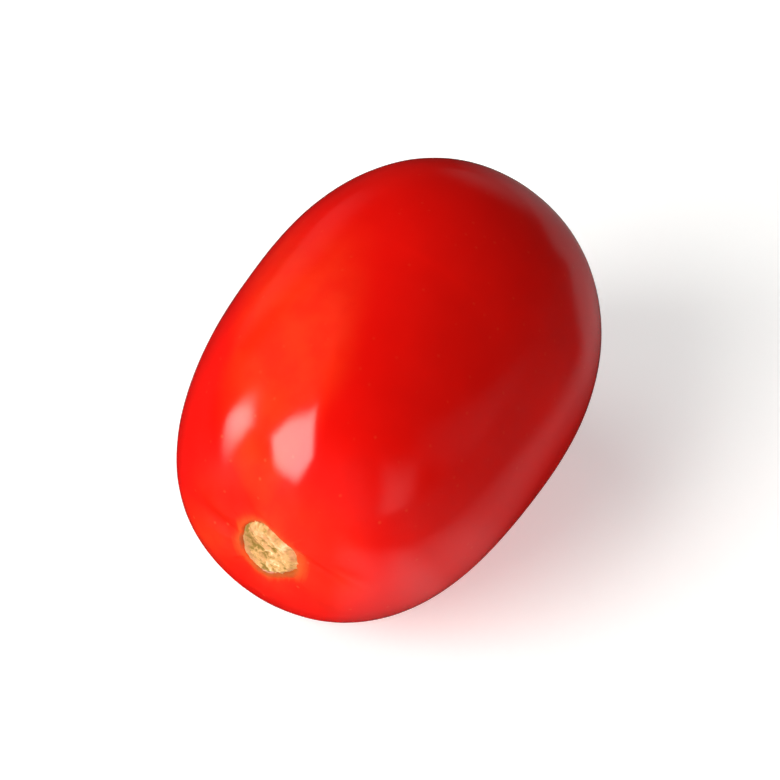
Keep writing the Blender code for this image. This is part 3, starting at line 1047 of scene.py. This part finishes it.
class TOMATO_OT_make_stem_scar(bpy.types.Operator):
    """Build the corky scar in the basin where the stalk came off"""

    bl_idname = "tomato.make_stem_scar"
    bl_label = "Make Stem Scar"
    bl_options = {"REGISTER", "UNDO"}

    def execute(self, context):
        form = context.scene.tomato_form
        look = context.scene.tomato_look
        radius = form.scar_radius
        back = [(radius, CORK_RIM_THICKNESS), (0.5 * radius, CORK_THICKNESS), (0.0, CORK_THICKNESS)]
        mesh = turned_disc(CORK_REACH * radius, SCAR_RINGS, back, SCAR_MERIDIANS)
        cork_height = mesh.verts.layers.float.new("cork_height")
        for vert in mesh.verts:
            rho, theta, depth = round_place(vert.co)
            share = rho / radius
            rho *= cork_edge(theta, share)
            flat = Vector((rho * math.cos(theta), 0.0, rho * math.sin(theta)))
            height, vert[cork_height] = cork_relief(form, share, flat)
            vert.co = grown(form, rho, theta, pole_place(form, STEM_END_SHAPE, -1.0, rho))
            vert.co.y += depth - (height if depth == 0.0 else 0.0)
        settle_scar(mesh, form.seat)
        surface = cork_material(look, "corky_scar", look.cork_cream, look.cork_tan, look.hollow_olive)
        add_piece(context, mesh, "stem_scar", surface)
        return {"FINISHED"}


class TOMATO_OT_make_blossom_scar(bpy.types.Operator):
    """Build the small dry scar on the nub at the blossom end"""

    bl_idname = "tomato.make_blossom_scar"
    bl_label = "Make Blossom Scar"
    bl_options = {"REGISTER", "UNDO"}

    def execute(self, context):
        form = context.scene.tomato_form
        look = context.scene.tomato_look
        radius = BLOSSOM_SCAR_RADIUS
        back = [(BLOSSOM_SCAR_BACK * radius, BLOSSOM_SCAR_THICKNESS), (0.0, BLOSSOM_SCAR_THICKNESS)]
        mesh = turned_disc(BLOSSOM_SCAR_REACH * radius, BLOSSOM_RINGS, back, BLOSSOM_MERIDIANS)
        cork_height = mesh.verts.layers.float.new("cork_height")
        wave, frequency, seed = BLOSSOM_WAVE
        for vert in mesh.verts:
            rho, theta, depth = round_place(vert.co)
            share = rho / radius
            rho *= 1.0 + wave * round_noise(theta, frequency, seed)
            flat = Vector((rho * math.cos(theta), 0.0, rho * math.sin(theta)))
            sunk, vert[cork_height] = blossom_relief(share, flat)
            vert.co = grown(form, rho, theta, pole_place(form, BLOSSOM_END_SHAPE, 1.0, rho))
            vert.co.y -= depth if depth > 0.0 else sunk
        settle_scar(mesh, form.seat)
        surface = cork_material(look, "dry_blossom_scar", look.cork_tan, look.dry_brown, look.dry_dark)
        add_piece(context, mesh, "blossom_scar", surface)
        return {"FINISHED"}


class TOMATO_OT_set_up_studio(bpy.types.Operator):
    """Set up the floor, the softboxes, the room's light and the camera"""

    bl_idname = "tomato.set_up_studio"
    bl_label = "Set Up Studio"
    bl_options = {"REGISTER", "UNDO"}

    def execute(self, context):
        studio = context.scene.tomato_studio
        add_floor(context, studio)
        right, up, back = camera_axes(studio)
        key_way = math.cos(KEY_RISE) * (back * math.cos(KEY_ASIDE) - right * math.sin(KEY_ASIDE))
        key_way += math.sin(KEY_RISE) * up
        key = (KEY_ROLL, KEY_AWAY, KEY_SIZE, studio.key_brightness, KEY_SHARES)
        add_softbox(context, "key_softbox", key_way, up, *key)
        for name, way, away, size, shares, mirrored in PANELS:
            brightness = getattr(studio, name + "_brightness")
            way = Vector(way).normalized()
            add_softbox(context, name + "_panel", way, up, 0.0, away, size, brightness, shares, mirrored)
        add_room_light(context, studio)
        add_camera(context, studio)
        context.scene.view_settings.view_transform = "Standard"
        context.scene.view_settings.look = "None"
        return {"FINISHED"}


class TOMATO_PT_panel(bpy.types.Panel):
    """The tomato's sizes, colours and build steps"""

    bl_idname = "TOMATO_PT_panel"
    bl_label = "Plum Tomato"
    bl_space_type = "VIEW_3D"
    bl_region_type = "UI"
    bl_category = "Tomato"

    def draw(self, context):
        scene = context.scene
        groups = {"Form": scene.tomato_form, "Look": scene.tomato_look, "Studio": scene.tomato_studio}
        for title, group in groups.items():
            box = self.layout.box()
            box.label(text=title)
            for name in group.__annotations__:
                box.prop(group, name)
        for operator in OPERATORS:
            self.layout.operator(operator.bl_idname)


OPERATORS = (
    TOMATO_OT_make_skin,
    TOMATO_OT_make_stem_scar,
    TOMATO_OT_make_blossom_scar,
    TOMATO_OT_set_up_studio,
)
CLASSES = (TomatoForm, TomatoLook, TomatoStudio, *OPERATORS, TOMATO_PT_panel)


def register():
    for cls in CLASSES:
        bpy.utils.register_class(cls)
    bpy.types.Scene.tomato_form = PointerProperty(type=TomatoForm)
    bpy.types.Scene.tomato_look = PointerProperty(type=TomatoLook)
    bpy.types.Scene.tomato_studio = PointerProperty(type=TomatoStudio)


def unregister():
    del bpy.types.Scene.tomato_studio
    del bpy.types.Scene.tomato_look
    del bpy.types.Scene.tomato_form
    for cls in reversed(CLASSES):
        bpy.utils.unregister_class(cls)


def main():
    register()
    bpy.ops.tomato.make_skin()
    bpy.ops.tomato.make_stem_scar()
    bpy.ops.tomato.make_blossom_scar()
    bpy.ops.tomato.set_up_studio()


if __name__ == "__main__":
    main()
